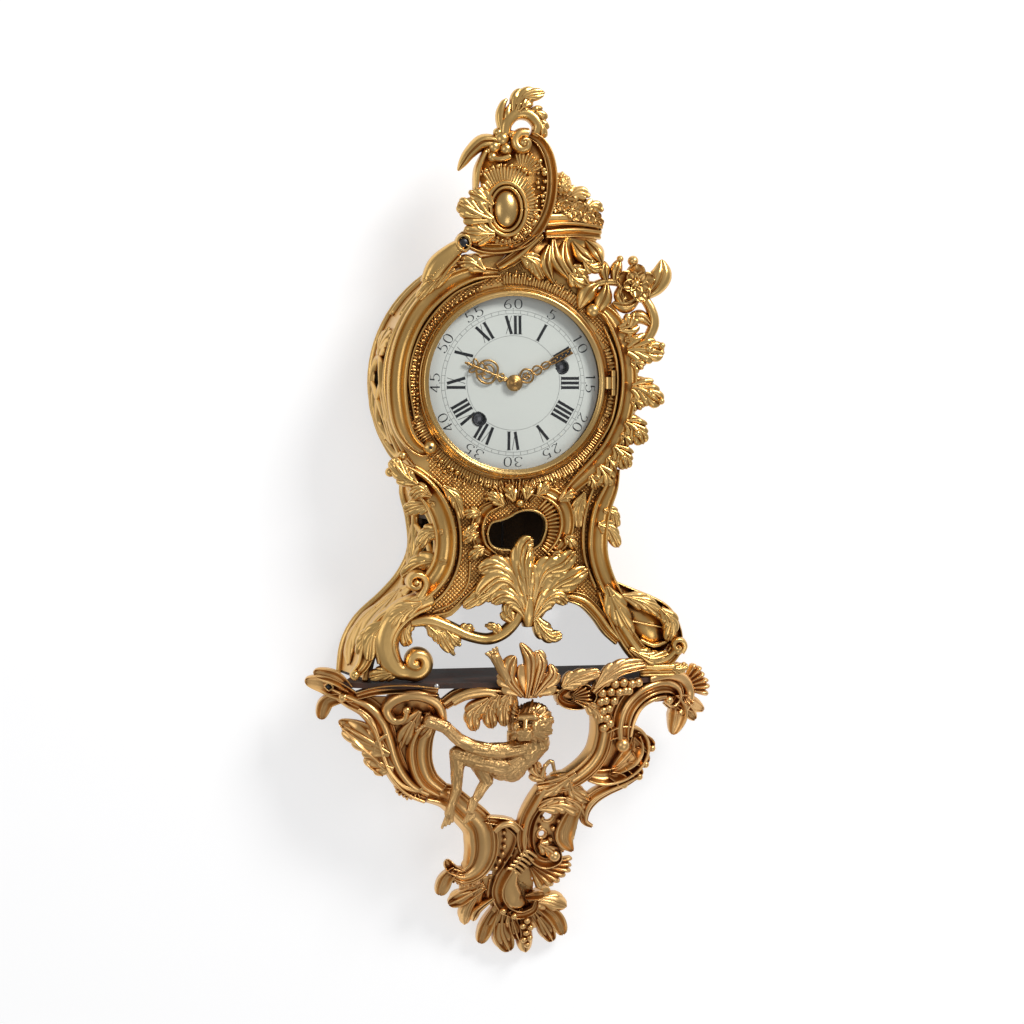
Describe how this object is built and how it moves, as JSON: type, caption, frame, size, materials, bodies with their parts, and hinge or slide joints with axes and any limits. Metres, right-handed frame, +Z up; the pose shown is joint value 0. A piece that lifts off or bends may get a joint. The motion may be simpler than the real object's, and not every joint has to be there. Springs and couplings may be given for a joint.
{
  "type": "cartel clock",
  "caption": "Gilt-bronze cartel clock on a wall bracket with a monkey: hinged glazed bezel, enamel dial, spring-driven going and striking movement and pendulum.",
  "frame": {"origin": "midway between the two wall screw holes, on the wall plane", "axes": "+Z up, +Y into the wall, +X to the right as seen from the front"},
  "size_m": [0.4234, 0.1295, 0.8968],
  "materials": {
    "gilt_bronze": "fire-gilt, burnished and matt",
    "bracket_bronze": "fire-gilt, worn",
    "brass": "brushed",
    "steel": "polished",
    "blackened_iron": "blackened",
    "enamel": "glossy enamel",
    "glass": "clear"
  },
  "bodies": {
    "bracket": {"shelf": "blackened_iron", "wall_lugs": "blackened_iron", "bracket_rail": "bracket_bronze", "bracket_left_arm": "bracket_bronze", "bracket_right_arm": "bracket_bronze", "bracket_center_leaf": "bracket_bronze", "bracket_drop": "bracket_bronze", "bracket_leaf_spray": "bracket_bronze", "monkey": "bracket_bronze"},
    "case": {"case_front": "gilt_bronze", "case_left_side": "gilt_bronze", "case_right_side": "gilt_bronze", "case_back": "gilt_bronze", "left_c_scroll": "gilt_bronze", "right_c_scroll": "gilt_bronze", "leaf_border": "gilt_bronze", "flower_spray": "gilt_bronze", "crest": "gilt_bronze", "crest_cabochon": "gilt_bronze", "crest_finial": "gilt_bronze", "crest_ledge": "gilt_bronze", "waist_scrolls": "gilt_bronze", "window_frame": "gilt_bronze", "apron_acanthus": "gilt_bronze", "left_foot": "gilt_bronze", "right_foot": "gilt_bronze", "bezel_hinge_posts": "gilt_bronze", "back_door_pin": "steel", "dial": "enamel", "bezel_hinge_pin": "steel", "front_plate": "brass", "back_plate": "brass", "plate_pillars": "brass", "movement_straps": "brass", "clicks": "steel", "pendulum_cock": "brass", "bell": "brass"},
    "back_door": {"back_door": "brass"},
    "back_door_button": {"back_door_button": "brass"},
    "bezel": {"bezel": "gilt_bronze", "bezel_glass": "glass"},
    "minute_hand": {"minute_hand": "gilt_bronze"},
    "hour_hand": {"hour_hand": "gilt_bronze"},
    "minute_wheel": {"minute_wheel": "brass"},
    "going_barrel": {"going_barrel": "brass", "going_mainspring": "steel"},
    "going_arbor": {"going_arbor": "steel"},
    "second_wheel": {"second_wheel": "brass"},
    "centre_wheel": {"centre_wheel": "brass"},
    "third_wheel": {"third_wheel": "brass"},
    "escape_wheel": {"escape_wheel": "brass"},
    "anchor": {"anchor": "steel"},
    "pendulum": {"pendulum": "steel"},
    "strike_barrel": {"strike_barrel": "brass", "strike_mainspring": "steel"},
    "strike_arbor": {"strike_arbor": "steel"},
    "pin_wheel": {"pin_wheel": "brass"},
    "strike_third_wheel": {"strike_third_wheel": "brass"},
    "fly": {"fly": "brass"},
    "hammer": {"hammer": "steel"}
  },
  "joints": [
    {"name": "clock_lift", "type": "slide", "parent": "bracket", "child": "case", "axis": [0, 0, 1], "range_m": [0, 0.06]},
    {"name": "bezel_hinge", "type": "hinge", "parent": "case", "child": "bezel", "pos_m": [0.1, -0.109, 0.32], "axis": [0, 0, 1], "range_deg": [0, 110]},
    {"name": "back_door_hinge", "type": "hinge", "parent": "case", "child": "back_door", "pos_m": [0.0863, -0.0034, 0.32], "axis": [0, 0, -1], "range_deg": [0, 110]},
    {"name": "button_turn", "type": "hinge", "parent": "case", "child": "back_door_button", "pos_m": [-0.096, -0.006, 0.324], "axis": [0, 1, 0], "range_deg": [0, 90]},
    {"name": "minute_hand_turn", "type": "hinge", "parent": "case", "child": "minute_hand", "pos_m": [0, -0.065, 0.32], "axis": [0, 1, 0], "continuous": true},
    {"name": "hour_hand_turn", "type": "hinge", "parent": "case", "child": "hour_hand", "pos_m": [0, -0.065, 0.32], "axis": [0, 1, 0], "continuous": true},
    {"name": "minute_wheel_turn", "type": "hinge", "parent": "case", "child": "minute_wheel", "pos_m": [0.006, -0.065, 0.30961], "axis": [0, 1, 0], "continuous": true},
    {"name": "third_wheel_turn", "type": "hinge", "parent": "case", "child": "third_wheel", "pos_m": [-0.0099, -0.065, 0.33715], "axis": [0, 1, 0], "continuous": true},
    {"name": "centre_wheel_turn", "type": "hinge", "parent": "case", "child": "centre_wheel", "pos_m": [0, -0.065, 0.32], "axis": [0, 1, 0], "continuous": true},
    {"name": "second_wheel_turn", "type": "hinge", "parent": "case", "child": "second_wheel", "pos_m": [0.02031, -0.065, 0.3308], "axis": [0, 1, 0], "continuous": true},
    {"name": "going_barrel_turn", "type": "hinge", "parent": "case", "child": "going_barrel", "pos_m": [0.04899, -0.065, 0.33592], "axis": [0, 1, 0], "continuous": true},
    {"name": "escape_wheel_turn", "type": "hinge", "parent": "case", "child": "escape_wheel", "pos_m": [0, -0.065, 0.34972], "axis": [0, 1, 0], "continuous": true},
    {"name": "going_winding", "type": "hinge", "parent": "case", "child": "going_arbor", "pos_m": [0.04899, -0.065, 0.33592], "axis": [0, 1, 0], "continuous": true},
    {"name": "pendulum_swing", "type": "hinge", "parent": "case", "child": "pendulum", "pos_m": [0, -0.0346, 0.36372], "axis": [0, 1, 0], "range_deg": [-4, 4]},
    {"name": "anchor_rock", "type": "hinge", "parent": "case", "child": "anchor", "pos_m": [0, -0.065, 0.36372], "axis": [0, 1, 0], "range_deg": [-4, 4]},
    {"name": "strike_third_turn", "type": "hinge", "parent": "case", "child": "strike_third_wheel", "pos_m": [-0.03329, -0.065, 0.33], "axis": [0, 1, 0], "continuous": true},
    {"name": "pin_wheel_turn", "type": "hinge", "parent": "case", "child": "pin_wheel", "pos_m": [-0.03945, -0.065, 0.31309], "axis": [0, 1, 0], "continuous": true},
    {"name": "strike_barrel_turn", "type": "hinge", "parent": "case", "child": "strike_barrel", "pos_m": [-0.03439, -0.065, 0.28439], "axis": [0, 1, 0], "continuous": true},
    {"name": "fly_turn", "type": "hinge", "parent": "case", "child": "fly", "pos_m": [-0.03579, -0.065, 0.34419], "axis": [0, 1, 0], "continuous": true},
    {"name": "strike_winding", "type": "hinge", "parent": "case", "child": "strike_arbor", "pos_m": [-0.03439, -0.065, 0.28439], "axis": [0, 1, 0], "continuous": true},
    {"name": "hammer_stroke", "type": "hinge", "parent": "case", "child": "hammer", "pos_m": [-0.036, -0.065, 0.362], "axis": [0, 1, 0], "range_deg": [-15, 1]}
  ],
  "couplings": [
    {"joint": "hour_hand_turn", "follows": "minute_hand_turn", "ratio": 0.083333},
    {"joint": "minute_wheel_turn", "follows": "minute_hand_turn", "ratio": -0.33333},
    {"joint": "centre_wheel_turn", "follows": "third_wheel_turn", "ratio": -0.1},
    {"joint": "second_wheel_turn", "follows": "third_wheel_turn", "ratio": 0.015},
    {"joint": "going_barrel_turn", "follows": "third_wheel_turn", "ratio": -0.0017857},
    {"joint": "escape_wheel_turn", "follows": "third_wheel_turn", "ratio": -9},
    {"joint": "anchor_rock", "follows": "pendulum_swing", "ratio": 1},
    {"joint": "pin_wheel_turn", "follows": "strike_third_turn", "ratio": -0.11111},
    {"joint": "strike_barrel_turn", "follows": "strike_third_turn", "ratio": 0.013228},
    {"joint": "fly_turn", "follows": "strike_third_turn", "ratio": -8}
  ]
}
